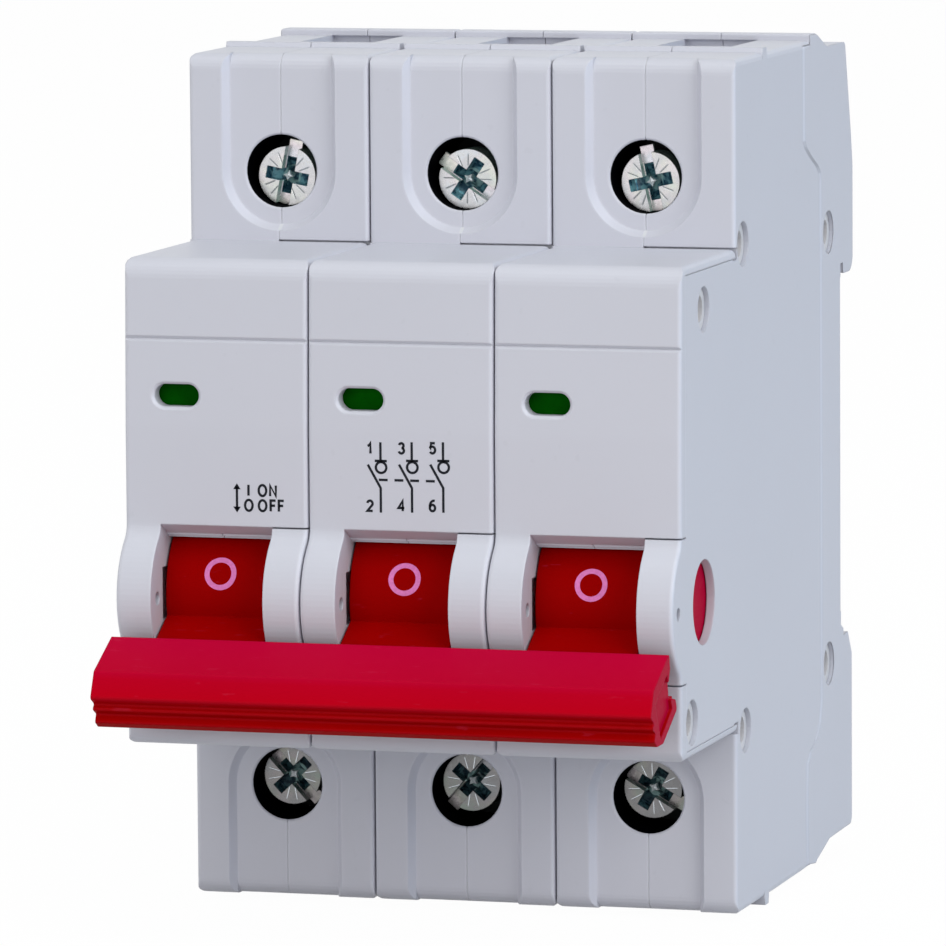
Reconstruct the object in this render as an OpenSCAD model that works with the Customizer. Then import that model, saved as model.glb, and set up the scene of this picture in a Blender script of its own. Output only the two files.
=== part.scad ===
// Three-pole switch disconnector for a 35 mm mounting rail.
// X runs across the poles, Y from the front (-) to the rail (+), Z is up.
// The origin is the centre of the face that seats on the rail.

/* [Pole] */
// Width of one pole, the standard module
pole_pitch = 17.75; // [17:0.05:19]
// Gap between the housings of neighbouring poles
pole_gap = 0.12; // [0.1:0.02:0.4]
// Gap that shows where the two half shells of a pole meet
seam = 0.05; // [0.05:0.01:0.15]

// Gap at the foot of the right half of a terminal's face
foot_gap = 0.14; // [0.1:0.02:0.2]

/* [Housing] */
// Depth from the top edge of the nose's front to the rail seat
front_depth = 60; // [57:0.5:70]
// Depth of the nose in front of the terminal faces
nose_depth = 19.46; // [17:0.1:22]
// Height of the nose
nose_height = 45.2; // [44:0.1:46]
// How far the lower part of the front stands in front of its top edge
front_lean = 0.42; // [0.1:0.02:0.6]
// Height up to which the front is upright
upright_height = 7; // [5:0.5:9]
// Height of the housing's top face above the middle of the nose
top_height = 40.2; // [39:0.1:46]
// Depth of the housing's bottom face below the middle of the nose
bottom_height = 39.9; // [39:0.1:46]
// Thickness of the front wall
front_wall = 1.25; // [1:0.05:1.6]
// Thickness of the side wall over the handle bearing
side_wall = 0.8; // [0.7:0.05:1.2]
// Radius of the nose's rounded top edge
nose_top_round = 1.9; // [1:0.1:2.4]
// Radius of the nose's rounded bottom edge
nose_round = 1.2; // [0.6:0.1:1.6]
// Radius of the rounded edges of the terminal blocks
block_round = 1.5; // [0.8:0.1:1.8]
// Radius of the rounded upright front edges
edge_round = 0.4; // [0.2:0.05:0.6]
// Radius of the rounded side edges of the top and bottom faces
shoulder_round = 0.65; // [0.3:0.05:0.9]
// Height of the decorative groove above the middle of the nose
groove_height = 15.2; // [14:0.1:17]
// Depth of the decorative groove, half of its width
groove_depth = 0.24; // [0.15:0.01:0.4]
// Height of the small rib on the top face
rib_height = 0.45; // [0.3:0.05:0.6]
// Height of the small rib on the bottom face
bottom_rib_height = 0.68; // [0.3:0.02:0.8]
// Depth of the ribs behind the top edge of the nose's front
rib_depth = 29.8; // [26:0.1:30]
// Length of the ribs along the depth
rib_length = 1.6; // [1:0.1:2]
// Distance of the raised rear step in front of the rail seat
rear_step_reach = 11.8; // [11:0.1:13]
// Height of the raised rear step above the top face
rear_step = 0.6; // [0.4:0.05:1]

/* [Rail channel] */
// Height of the mounting rail
rail_height = 35; // [35:0.1:35.3]
// Thickness of the rail's flange
rail_flange = 1; // [0.9:0.1:1.3]
// Clearance round the rail
rail_clearance = 0.25; // [0.2:0.05:0.4]
// Depth of the relief beside the seat, above and below
seat_relief = 0.2; // [0.1:0.05:0.3]
// Reach of the fixed hook behind the rail seat
hook_reach = 5.2; // [4.8:0.1:6]
// Overlap of the fixed hook over the rail's flange
hook_overlap = 0.8; // [0.6:0.1:1]

/* [Toggle] */
// Height of the handle's pivot below the middle of the nose
pivot_drop = 8.78; // [8:0.1:9.5]
// Depth of the pivot behind the top edge of the nose's front
pivot_depth = 7.56; // [7.3:0.05:8]
// Radius of the toggle's drum
drum_radius = 7.2; // [6.8:0.05:7.3]
// Clearance between the drum and the wall round it
drum_clearance = 0.35; // [0.2:0.05:0.4]
// Running clearance beside the toggle and in its bearings
toggle_clearance = 0.2; // [0.15:0.05:0.3]
// Width of the opening for the toggle
opening_width = 10.8; // [10:0.1:11]
// Half the height of the toggle opening at the front
opening_reach = 6.78; // [6.6:0.05:6.9]
// How far the cheeks bulge in front of the nose
cheek_bulge = 3.15; // [2.8:0.05:3.3]
// Half the height of the bulge
cheek_reach = 6.8; // [6.6:0.05:7]
// Radius of the hollow fillet where a cheek meets the front
cheek_fillet = 1.7; // [1.4:0.1:2.2]
// Gap at the ends of the separate right cheek
cheek_seam = 0.14; // [0.08:0.02:0.2]
// Angle of the lever below and above the pivot's level
lever_angle = 28.5; // [26:0.5:29]
// Thickness of the lever
lever_thickness = 3.4; // [3:0.1:3.5]
// Radius of the bearing holes in the side walls
bearing_radius = 3.95; // [3.5:0.05:4.2]
// Diameter of the sealing-wire hole through the cheeks
seal_hole = 1.25; // [1.1:0.05:1.5]

/* [Handle bar] */
// Distance of the bar's ends inside the outer edges of the outer modules
bar_inset = 0.1; // [0.1:0.1:1]
// Distance from the pivot to the bar's rear edge
bar_start = 12.6; // [12.4:0.1:13]
// Distance from the pivot to the bar's front edge
bar_end = 20.3; // [19.5:0.1:21]
// Height of the bar above and below the lever's centre line
bar_half_height = 3.1; // [2.9:0.05:3.3]
// Thickness of the bar's walls
bar_wall = 1.2; // [1:0.05:1.4]
// Depth of the grip grooves along the bar
grip_depth = 0.65; // [0.4:0.05:0.8]
// Depth of the end webs inside the bar's ends
web_inset = 0.3; // [0.2:0.05:0.6]

/* [Terminals] */
// Height of the screw wells above and below the middle
well_height = 29.15; // [28.8:0.05:29.5]
// Radius of the screw wells
well_radius = 3.45; // [3.3:0.05:3.6]
// Distance from a well's centre to its screw, towards the middle
screw_offset = 0.6; // [0.4:0.05:0.6]
// Radius of the shallow recess round each screw, at its floor
recess_radius = 5.02; // [4.8:0.02:5.4]
// Depth of the shallow recess
recess_depth = 0.85; // [0.6:0.05:1]
// How far the recess widens from its floor to the terminal face
recess_slope = 0.56; // [0.2:0.02:0.8]
// Width and depth of the chamfer round each well
well_chamfer = 0.15; // [0.1:0.05:0.5]
// Radius of the screw heads
head_radius = 2.8; // [2.6:0.05:2.8]
// Length of the screw heads
head_length = 3.4; // [3:0.1:4]
// Depth of the screw heads below the wells' rims
head_depth = 1.6; // [1:0.02:2]
// Width of the screws' slots
screw_slot = 1.3; // [1:0.05:1.4]
// Depth of the screws' slots
screw_slot_depth = 1.1; // [0.8:0.05:1.3]
// Width of the arms of the screws' cross recesses
cross_width = 1.15; // [0.9:0.05:1.3]
// Overall width of the screws' cross recesses
cross_length = 4.2; // [3.6:0.1:4.4]
// Depth of the screws' cross recesses
cross_depth = 2.4; // [1.8:0.1:2.8]
// Radius of the screw threads
thread_radius = 2; // [1.8:0.05:2.2]
// Outer width of the clamps
clamp_width = 8.4; // [8:0.1:8.8]
// Wall thickness of the clamps
clamp_wall = 1; // [0.8:0.05:1.2]
// Length of the clamps along the depth
clamp_length = 12.6; // [12:0.1:13]
// Height of the clamps
clamp_height = 8; // [7:0.1:9]
// Thickness of the contact plates
contact_thickness = 1.4; // [1:0.1:1.6]
// Width of the contact plates
contact_width = 5.6; // [5:0.1:6]
// Width of the wire entries
entry_width = 7.3; // [7:0.1:7.8]
// Length of the wire entries along the depth
entry_length = 8.4; // [8:0.1:9]
// Depth of the shallow slot behind each wire entry
slot_depth = 2.6; // [2:0.1:3]

/* [Indicator] */
// Height of the window's centre above the middle of the nose
window_height = 9.95; // [9.6:0.05:10.2]
// Sideways offset of the window from the pole's centre
window_offset = -3.8; // [-4:0.05:-3.6]
// Overall length of the window
window_length = 4.3; // [4:0.05:4.6]
// Height of the window
window_width = 2.1; // [1.9:0.05:2.3]
// Width of the chamfer round the window
window_chamfer = 0.25; // [0.1:0.05:0.4]
// Travel of the indicator flag
flag_travel = 3.4; // [3:0.1:3.6]
// Thickness of the indicator flag
flag_thickness = 1; // [0.8:0.05:1.2]
// Running clearance round the flag
flag_clearance = 0.15; // [0.1:0.05:0.2]

/* [Rail clips] */
// Width of the rail clips
clip_width = 5.9; // [5.4:0.1:6.4]
// Travel of the rail clips
clip_travel = 2.5; // [2:0.1:2.8]
// Running clearance round the rail clips
clip_clearance = 0.15; // [0.1:0.05:0.2]

/* [Rivets] */
// Radius of the tie rivets
rivet_radius = 2.05; // [1.8:0.05:2.2]
// Radial clearance round the tie rivets
rivet_clearance = 0.06; // [0.04:0.01:0.1]
// Depth of the rivets' ends below the outer faces
rivet_inset = 0.45; // [0.3:0.05:1]
// Radius of the hollow in the rivets' ends
rivet_bore = 1.25; // [1:0.05:1.5]
// Depth of the hollow in the rivets' ends
rivet_bore_depth = 1.5; // [1:0.1:3]

/* [Hidden] */
$fn = 64;
poles = 3;
arc_steps = 12;
eps = 0.01;

grey = [0.78, 0.79, 0.82];
red = [0.75, 0.02, 0.08];
green = [0.02, 0.32, 0.05];
zinc = [0.8, 0.82, 0.8];
copper = [0.72, 0.45, 0.2];
ivory = [0.85, 0.84, 0.8];

half_pole = (pole_pitch - pole_gap) / 2;
half_nose = nose_height / 2;
half_rail = rail_height / 2;
front_y = -front_depth - front_lean;
terminal_y = nose_depth - front_depth;
half_opening = opening_width / 2;
outside = 60;

// Circle of the cheeks' bulge, which the fillets join at the tangent angle
cheek_centre = (pow(cheek_reach, 2) + pow(cheek_fillet, 2) - pow(cheek_bulge + cheek_fillet, 2))
    / (2 * cheek_bulge);
cheek_radius = cheek_centre + cheek_bulge;
cheek_tangent = atan2(cheek_reach, cheek_centre + cheek_fillet);

// Toggle and handle
pivot = [pivot_depth - front_depth, -pivot_drop];
cavity_radius = drum_radius + drum_clearance;
hub_radius = bearing_radius + 0.25;
drum_half = half_opening - toggle_clearance;
blade_end = bar_start - 0.7;
lip_end = bar_start + bar_wall;
channel_end = bar_end - bar_wall - grip_depth;
neck = 2;
fit = 0.05;
web_thickness = 1.4;

// Terminals
rim_y = terminal_y + recess_depth + well_chamfer;
head_y = rim_y + head_depth;
screw_z = well_height - screw_offset;
clamp_y = head_y + head_length + 3.5;
clamp_gap = 0.15;
contact_y = clamp_y + clamp_wall + 1.2;
contact_seat = 2.4;
entry_y = contact_y + contact_thickness;
recess_end_round = 1.4;
// Turn of each screw's slot from upright, clockwise seen from the front
screw_turn_top = [11, -56, -12];
screw_turn_bottom = [-43, 41, -60];

// Rail channel and clip
hook_z = half_rail - hook_overlap;
slot_y = rail_flange + rail_clearance;
jaw_z = -half_rail - rail_clearance;
clip_top = jaw_z - 1;
clip_front = -1.25;
clip_flange = 1.25;
clip_bottom = 0.6 - bottom_height;
clip_shoulder = clip_top - 2.6;

// Shells
rear_overlap = 1;
rear_wall = 10;
rear_notch = 0.28;
shell_lip = 0.8;

// Indicator
flag_y = front_wall - front_depth + flag_clearance;
flag_half = window_length / 2 + 0.9;
flag_low = window_height - flag_travel * 1.5;
flag_high = window_height + flag_travel / 2;

// Places of the tie rivets: beside the wells, behind the nose's corners and beside the rail
rivet_places = [
    [terminal_y + 2.74, well_height - 6.25], [terminal_y + 3.24, 6.35 - well_height],
    [pivot.x + 0.22, half_nose - 4.46], [pivot.x - 4.39, 3.29 - half_nose],
    [-4.67, half_rail + 3.7], [-4.67, -half_rail - 3.4]];

// Centre of pole n, counted from the left
function pole_x(n) = (n - (poles + 1) / 2) * pole_pitch;

// Y of the nose's front at a height
function front_at(z) =
    front_y + front_lean * max(0, z - upright_height) / (half_nose - upright_height);

// A profile point: depth behind the nose's front, height, corner radius
function at(depth, height, radius = 0) = [depth - front_depth, height, radius];

function unit(v) = v / norm(v);

// Points on an arc about c, from one angle to another
function arc(c, r, from, to, steps = arc_steps) =
    [for (i = [0:steps]) let (a = from + (to - from) * i / steps) c + r * [cos(a), sin(a)]];

// Points that round the corner q between its neighbours p and s
function corner(p, q, s, radius) =
    radius <= 0 ? [q] :
    let (u = unit(p - q), v = unit(s - q), half = acos(u * v) / 2,
         c = q + unit(u + v) * radius / sin(half),
         a = q + u * radius / tan(half) - c, b = q + v * radius / tan(half) - c,
         start = atan2(a.y, a.x), turn = atan2(b.y, b.x) - start,
         sweep = turn > 180 ? turn - 360 : turn < -180 ? turn + 360 : turn)
    arc(c, radius, start, start + sweep, radius < 0.6 ? 4 : 8);

// A closed outline with each corner rounded by its own radius
function rounded(points) =
    [for (i = [0:len(points) - 1])
        let (k = len(points), p = points[(i + k - 1) % k], q = points[i], s = points[(i + 1) % k])
        each corner([p.x, p.y], [q.x, q.y], [s.x, s.y], len(q) > 2 ? q.z : 0)];

// A side profile drawn in depth and height, extruded from x0 to x1
module across(x0, x1) {
    translate([x0, 0, 0]) rotate([90, 0, 90]) linear_extrude(x1 - x0) children();
}

// A block between two corners
module block(low, high) {
    translate(low) cube(high - low);
}

// A cylinder along Y that starts at y and runs towards the rail
module along_y(y, length, r1, r2) {
    translate([0, y, 0]) rotate([-90, 0, 0]) cylinder(h = length, r1 = r1, r2 = r2);
}

// Mirrors its children about the middle for the bottom terminals
module at_end(side) {
    if (side > 0) children();
    else mirror([0, 0, 1]) children();
}

// Draws its children for the right-hand side and mirrored for the left
module both_sides() {
    children();
    mirror([1, 0, 0]) children();
}

/* ---- Housing ---- */

// Outline of a pole seen from the side
module pole_profile() {
    top = top_height;
    bottom = -bottom_height;
    step = -rear_step_reach;
    polygon(rounded([
        at(0, half_nose, nose_top_round),
        [terminal_y, half_nose],
        [terminal_y, top, block_round],
        [step, top],
        [step, top + rear_step, 0.2],
        [step + 2.2, top + rear_step, 1],
        [step + 5.25, top - 0.48, 0.4],
        [step + 6.6, top - 0.95, 0.4],
        [hook_reach - 3, top - 0.95, 0.8],
        [hook_reach - 0.6, top - 10.2],
        [hook_reach, top - 13.2, 1],
        [hook_reach, hook_z, 1.6],
        [slot_y, hook_z, 0.3],
        [slot_y, half_rail + rail_clearance],
        [seat_relief, half_rail + rail_clearance],
        [seat_relief, seat_half],
        [0, seat_half],
        [0, -seat_half],
        [seat_relief, -seat_half],
        [seat_relief, jaw_z],
        [slot_y, jaw_z - 0.5],
        [slot_y, clip_top - 0.2],
        [hook_reach - 2.2, clip_top, 0.2],
        [hook_reach - 0.6, clip_top - 2.3, 0.5],
        [hook_reach - 0.6, bottom + 1.9, 0.8],
        [-4.5, bottom + 1.75],
        [step + 2.4, bottom + 0.5],
        [step + 1.6, bottom + 0.18, 0.2],
        [step - 0.6, bottom + 0.42],
        [rib_depth + rib_length - front_depth, bottom],
        [terminal_y, bottom, block_round],
        [terminal_y, -half_nose],
        [front_y, -half_nose, nose_round],
        [front_y, upright_height]]));
}

// Half the height of the flat that seats on the rail, clear of the hook
seat_half = hook_z - 0.3;

// Outline of the bulging cheeks beside the toggle
module cheek_profile() {
    f = cheek_fillet;
    // the fillets give the two end points of the bulge
    reach = cheek_tangent * 11 / 12;
    inside = front_wall - front_y - front_depth;
    translate([front_y, -pivot_drop])
        polygon(concat(
            [[inside, cheek_reach]],
            arc([-f, cheek_reach], f, 0, -cheek_tangent, 6),
            arc([cheek_centre, 0], cheek_radius, 180 - reach, 180 + reach, 22),
            arc([-f, -cheek_reach], f, cheek_tangent, 0, 6),
            [[inside, -cheek_reach]]));
}

// Space that the toggle turns in, seen from the side
module toggle_space_profile() {
    ledge = 1.5;
    inner = 2;
    translate([-front_depth, -pivot_drop])
        for (side = [1, -1]) mirror([0, side > 0 ? 0 : 1])
            polygon([
                [-2 * cheek_bulge, -eps], [-2 * cheek_bulge, opening_reach],
                [-front_lean, opening_reach], [ledge, opening_reach - 1.03],
                [ledge, opening_reach - 1.18], [inner, opening_reach - 1.18],
                [inner, opening_reach - 1.43], [pivot_depth - 4, opening_reach - 1.43],
                [pivot_depth - 4, -eps]]);
    translate(pivot) circle(r = cavity_radius);
}

// Everything that is cut from both shells of a pole
module pole_cuts() {
    across(-half_opening, half_opening) toggle_space_profile();
    // hub bearings
    across(-half_pole + side_wall, half_pole - side_wall)
        translate(pivot) circle(r = hub_radius + toggle_clearance / 2);
    across(-half_pole - 1, half_pole + 1)
        translate(pivot) circle(r = bearing_radius);
    // relief in the left cheek
    block([-half_opening - 0.45, -front_depth, pivot.y - 2.2],
          [0, pivot.x, pivot.y + 2.7]);
    // sealing-wire hole
    across(-half_pole - 1, half_pole + 1)
        translate([seal_y, pivot.y]) circle(d = seal_hole);
    // rivet holes
    for (p = rivet_places)
        across(-half_pole - 1, half_pole + 1)
            translate(p) circle(r = rivet_radius + rivet_clearance);
    terminal_cuts(top_height);
    mirror([0, 0, 1]) terminal_cuts(bottom_height);
    clip_slot();
    window_cut();
    // groove across the nose
    across(-half_pole - 1, half_pole + 1)
        translate([front_at(groove_height), groove_height])
            polygon([[-1, -1 - groove_depth], [groove_depth, 0], [-1, 1 + groove_depth]]);
}

seal_y = front_y - 1.13;

/* ---- Rounded edges ---- */

// What rounding removes from an edge at the origin, with the solid at -x and -y
module edge_waste(r, steps = 3) {
    // the first and last facets run on a little way outside the solid
    over = 0.15;
    rise = over * tan(45 / steps);
    polygon(concat(
        [[-r - over, rise]], arc([-r, -r], r, 90, 0, steps), [[rise, -r - over]],
        [[1, -r - over], [1, 1], [-r - over, 1]]));
}

// Waste of an upright front edge at depth y, from z0 to z1, on the right
module upright_waste(y, z0, z1) {
    translate([half_pole, y, z0]) linear_extrude(z1 - z0) mirror([0, 1]) edge_waste(edge_round);
}

// Waste of a side edge of the top face, from y0 to y1, on the right
module shoulder_waste(z, y0, y1, r = shoulder_round) {
    translate([half_pole, y1, z]) rotate([90, 0, 0]) linear_extrude(y1 - y0) edge_waste(r);
}

// Waste of the round front edge of a cheek, on the right: its bulge and the two hollow fillets
module cheek_waste() {
    translate([half_pole, front_y, -pivot_drop]) {
        // runs a little way into the fillets, so that no sliver is left between
        translate([0, cheek_centre, 0]) arc_waste(269.6 - cheek_tangent, 2 * cheek_tangent + 0.8)
            translate([cheek_radius, 0]) edge_waste(edge_round);
        for (side = [1, -1])
            translate([0, -cheek_fillet, side * cheek_reach])
                arc_waste(side > 0 ? 90 - cheek_tangent : 90, cheek_tangent)
                    translate([cheek_fillet, 0]) mirror([1, 0]) edge_waste(edge_round);
    }
}

// Turns a waste profile about X; the angle starts from straight down and grows towards the rail
module arc_waste(start, sweep) {
    rotate([0, 90, 0]) rotate([0, 0, start]) rotate_extrude(angle = sweep) children();
}

/* ---- Terminals, drawn at the top and mirrored to the bottom ---- */

module terminal_cuts(end) {
    // shallow U-shaped recess with sloping sides that opens to the end face
    wide = recess_radius + recess_slope;
    translate([0, 0, well_height])
        along_y(terminal_y - recess_depth, 2 * recess_depth, wide + recess_slope, recess_radius);
    translate([0, terminal_y, well_height]) linear_extrude(outside)
        polygon([[-recess_radius, recess_depth], [recess_radius, recess_depth],
                 [wide + recess_slope, -recess_depth], [-wide - recess_slope, -recess_depth]]);
    // the floor of the recess rounds over into the end face
    across(-recess_radius, recess_radius)
        translate([terminal_y + recess_depth, end]) mirror([1, 0]) edge_waste(recess_end_round, 6);
    // chamfer and well
    translate([0, 0, well_height]) {
        along_y(rim_y - well_chamfer - eps, well_chamfer + eps,
            well_radius + well_chamfer + eps, well_radius);
        along_y(rim_y - eps, clamp_y - rim_y - clamp_gap + 2 * eps, well_radius, well_radius);
    }
    // room for the clamp
    half_room = [clamp_width / 2 + clamp_gap, clamp_length / 2 + clamp_gap, clamp_height / 2 + clamp_gap];
    room_centre = [0, clamp_y + clamp_length / 2, screw_z];
    block(room_centre - half_room, room_centre + half_room);
    // seat of the contact plate's inner end
    block([-contact_width / 2 - 0.05, contact_y - 0.05, screw_z - clamp_height / 2 - contact_seat - 0.05],
          [contact_width / 2 + 0.05, entry_y + 0.05, screw_z]);
    // wire entry, the shallow slot behind it and its pocket under the rear step
    block([-entry_width / 2, entry_y - 1, screw_z], [entry_width / 2, entry_y - 1 + entry_length, end + 2]);
    block([-entry_width / 2, entry_y - 1, end - slot_depth],
        [entry_width / 2, -rear_step_reach - eps, end + 2]);
    block([-entry_width / 2, entry_y, end - slot_depth],
        [entry_width / 2, 0.8 - rear_step_reach, end - 0.02]);
}

module screw(side, turn) {
    cross = cross_length / 2;
    ear = well_radius - 0.15;
    at_end(side) translate([0, 0, screw_z]) color(zinc) {
        difference() {
            along_y(head_y, head_length, head_radius, head_radius);
            rotate([0, side * turn, 0]) {
                block([-screw_slot / 2, head_y - 1, -head_radius - 1],
                      [screw_slot / 2, head_y + screw_slot_depth, head_radius + 1]);
                cross_arm(cross, head_y - eps);
                rotate([0, 90, 0]) cross_arm(cross - 0.35, head_y + screw_slot_depth - eps);
            }
        }
        // ears at the ends of the slot's floor
        intersection() {
            difference() {
                rotate([0, side * turn, 0])
                    block([-0.5 * screw_slot, head_y + screw_slot_depth, -head_radius - 0.6],
                          [0.5 * screw_slot, head_y + screw_slot_depth + 0.5, head_radius + 0.6]);
                along_y(head_y, head_length, head_radius - 0.2, head_radius - 0.2);
            }
            translate([0, 0, screw_offset]) along_y(head_y, head_length, ear, ear);
        }
        along_y(head_y + head_length, contact_y - head_y - head_length, thread_radius, thread_radius);
    }
}

// One arm of a cross recess along X, with steep ends and a floor that falls to the middle
module cross_arm(half, y) {
    translate([0, y, -cross_width / 2]) linear_extrude(cross_width)
        polygon([[-half, 0], [0.3 - half, 1], [0, cross_depth], [half - 0.3, 1], [half, 0]]);
}

module clamp(side) {
    half = clamp_width / 2;
    at_end(side) translate([0, clamp_y, screw_z]) color(zinc) difference() {
        block([-half, 0, -clamp_height / 2], [half, clamp_length, clamp_height / 2]);
        block([clamp_wall - half, clamp_wall, -clamp_height],
              [half - clamp_wall, clamp_length - clamp_wall, clamp_height]);
        along_y(-1, clamp_wall + 2, thread_radius + fit, thread_radius + fit);
    }
}

module contact(side) {
    half = contact_width / 2;
    at_end(side) color(copper)
        block([-half, contact_y, screw_z - clamp_height / 2 - contact_seat],
              [half, entry_y, screw_z + clamp_height / 2]);
}

/* ---- Indicator ---- */

module window_cut() {
    stadium = (window_length - window_width) / 2;
    r = window_width / 2;
    wide = r + window_chamfer;
    front = front_at(window_height);
    translate([window_offset, 0, window_height]) {
        for (side = [-1, 1]) translate([side * stadium, 0, 0]) {
            along_y(front - 1, front_wall + 2, r, r);
            along_y(front - window_chamfer, 2 * window_chamfer, wide + window_chamfer, r);
        }
        across(-stadium, stadium)
            polygon([[front - window_chamfer, -wide - window_chamfer], [front + window_chamfer, -r],
                     [front + window_chamfer, r], [front - window_chamfer, wide + window_chamfer]]);
        block([-stadium, front - 1, -r], [stadium, front_wall - front_depth + eps, r]);
    }
    block([window_offset - flag_half - flag_clearance, front_wall - front_depth, flag_low - flag_clearance],
          [window_offset + flag_half + flag_clearance,
           flag_y + flag_thickness + flag_clearance, flag_high + flag_travel + flag_clearance]);
}

module flag() {
    color(green)
        block([window_offset - flag_half, flag_y, flag_low],
              [window_offset + flag_half, flag_y + flag_thickness, flag_high]);
}

/* ---- Shells ---- */

// A pole's outer body, with rounded edges, from x0 to x1
module pole_body(x0, x1) {
    difference() {
        union() {
            across(x0, x1) pole_profile();
            children();
        }
        both_sides() {
            upright_waste(front_y, -half_nose - 1, -pivot_drop - cheek_reach);
            upright_waste(front_y, cheek_reach - pivot_drop, upright_height);
            translate([0, front_y, upright_height])
                rotate([-atan2(front_lean, half_nose - upright_height), 0, 0])
                upright_waste(0, 0, half_nose);
            cheek_waste();
            upright_waste(terminal_y, half_nose, outside);
            upright_waste(terminal_y, -outside, -half_nose);
            shoulder_waste(half_nose, front_y - 1, terminal_y);
            shoulder_waste(top_height, terminal_y - 1, -rear_step_reach);
            shoulder_waste(top_height + rear_step, -rear_step_reach - 0.5, outside, rear_notch);
            at_end(-1) shoulder_waste(half_nose, front_y - 1, terminal_y);
            at_end(-1) shoulder_waste(bottom_height, terminal_y - 1, -rear_step_reach - 1);
        }
    }
}

module case_left() {
    color(grey) difference() {
        union() {
            // the front wall, the shoulders and the rear wall reach over the right half
            difference() {
                pole_body(-half_pole, half_pole)
                    across(-half_pole, -half_opening) cheek_profile();
                right_zone(-seam / 2, 0);
            }
            ribs(-half_pole + 0.35, -seam / 2);
        }
        pole_cuts();
    }
}

module case_right() {
    color(grey) difference() {
        union() {
            intersection() {
                pole_body(seam / 2, half_pole)
                    across(half_opening, half_pole) cheek_profile();
                right_zone(seam / 2, seam);
            }
            ribs(seam / 2, half_pole);
        }
        pole_cuts();
        for (side = [1, -1])
            at_end(side) block([0, terminal_y - 1, half_nose - 1],
                [pole_pitch, terminal_y + 0.6, half_nose + foot_gap]);
    }
}

// Space of the right shell from x on: behind the front wall and between the shoulders' lips
module right_zone(x, inset) {
    lip = shell_lip + inset;
    cheek_end = opening_reach - (inset > 0 ? cheek_seam : 0);
    block([x, front_wall - front_depth, -half_nose + lip],
          [pole_pitch, terminal_y + 1, half_nose - lip]);
    block([x, terminal_y, -outside], [pole_pitch, -rear_wall, outside]);
    block([x + rear_overlap, -rear_wall - eps, -outside], [pole_pitch, outside, outside]);
    block([half_opening, -front_depth - 2 * cheek_bulge, -pivot_drop - cheek_end],
          [pole_pitch, -front_depth + front_wall + eps, cheek_end - pivot_drop]);
}

// Small ribs on the top and bottom faces
module ribs(x0, x1) {
    rib(x0, x1, top_height, rib_height);
    mirror([0, 0, 1]) rib(x0, x1, bottom_height, bottom_rib_height);
}

module rib(x0, x1, end, height) {
    root = 0.7;
    across(x0, x1)
        translate([rib_depth - front_depth, end - root])
            polygon([[0, 0], [0, root], [0.2, root + height],
                     [rib_length - 0.2, root + height], [rib_length, root], [rib_length, 0]]);
}

/* ---- Toggle ---- */

// Places its children in the lever's frame: x away from the pivot, y up
module lever_frame() {
    translate(pivot) rotate(180 + lever_angle) mirror([0, 1]) children();
}

module toggle() {
    half_blade = lever_thickness / 2;
    head = bar_half_height - bar_wall - fit;
    hub_end = half_pole - side_wall - toggle_clearance / 2;
    color(red) {
        across(-drum_half, drum_half) translate(pivot) circle(r = drum_radius);
        across(-hub_end, hub_end) translate(pivot) circle(r = hub_radius);
        across(-drum_half, drum_half) lever_frame() {
            translate([0, -half_blade]) square([blade_end, lever_thickness]);
            translate([0, fit - neck / 2]) square([channel_end - fit, neck - 2 * fit]);
            translate([lip_end + fit, -head]) square([1.4, 2 * head]);
        }
    }
}

/* ---- Handle bar ---- */

module bar_outline() {
    top = bar_half_height;
    front = bar_end;
    polygon(rounded([
        [bar_start, top - 1.1, 0.3], [bar_start - 0.45, top, 0.3],
        [front - 2.1, top + 0.25, 0.3], [front, top - 1.3, 0.3],
        [front - grip_depth, 0.7, 0.15], [front, 0.55, 0.2],
        [front - grip_depth, -0.4, 0.15], [front, -0.9, 0.2],
        [front - 0.5, -1.8, 0.4], [front - 2.4, -top + 0.3, 0.5], [bar_start - 0.15, -top + 0.15, 0.4]]));
}

// The bar with its channel and the mouth between its lips
module bar_profile() {
    top = bar_half_height;
    difference() {
        bar_outline();
        translate([lip_end, bar_wall - top]) square([channel_end - lip_end, 2 * (top - bar_wall)]);
        polygon([[bar_start - 1, -top + 0.5], [bar_start - 1, top - 0.5],
                 [bar_start + 0.9, neck / 2], [lip_end + 0.5, neck / 2],
                 [lip_end + 0.5, -neck / 2], [bar_start + 0.9, -neck / 2]]);
    }
}

// The web that closes the channel near each end of the bar
module web_profile() {
    difference() {
        bar_outline();
        polygon([[bar_start - 2, 5], [bar_start - 0.4, 5], [bar_start + 0.85, -0.85],
                 [bar_start + 0.2, -1.5], [bar_start - 2, -1.5]]);
    }
}

module handle_bar() {
    half = poles * pole_pitch / 2 - bar_inset;
    color(red) {
        across(-half, half) lever_frame() bar_profile();
        both_sides() across(half - web_inset - web_thickness, half - web_inset) lever_frame() web_profile();
    }
}

/* ---- Rail clip ---- */

module clip_slot() {
    half = clip_width / 2;
    rear = hook_reach + 1;
    block([-half - clip_clearance, 0.05, -bottom_height - 1],
          [half + clip_clearance, rear, clip_top + 3]);
    block([-half - clip_flange - clip_clearance, clip_front - clip_clearance, -bottom_height - 1],
          [half + clip_flange + clip_clearance, 0.05 + eps, clip_shoulder + clip_travel + clip_clearance]);
}

module rail_clip() {
    half = clip_width / 2;
    back = hook_reach - 0.9;
    color(grey) difference() {
        union() {
            across(-half, half)
                polygon([
                    [clip_front, clip_bottom], [back, clip_bottom], [back, clip_top - 2.4],
                    [back - 1.5, clip_top], [slot_y + 0.15, clip_top], [slot_y + 0.15, clip_shoulder],
                    [clip_front, clip_shoulder]]);
            block([-half - clip_flange, clip_front, clip_bottom],
                  [half + clip_flange, -0.1, clip_shoulder]);
        }
        // slot for a screwdriver's tip
        block([-1.8, -5, clip_bottom + 2], [1.8, hook_reach + 1, clip_bottom + 4]);
    }
}

/* ---- Rivets ---- */

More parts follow.
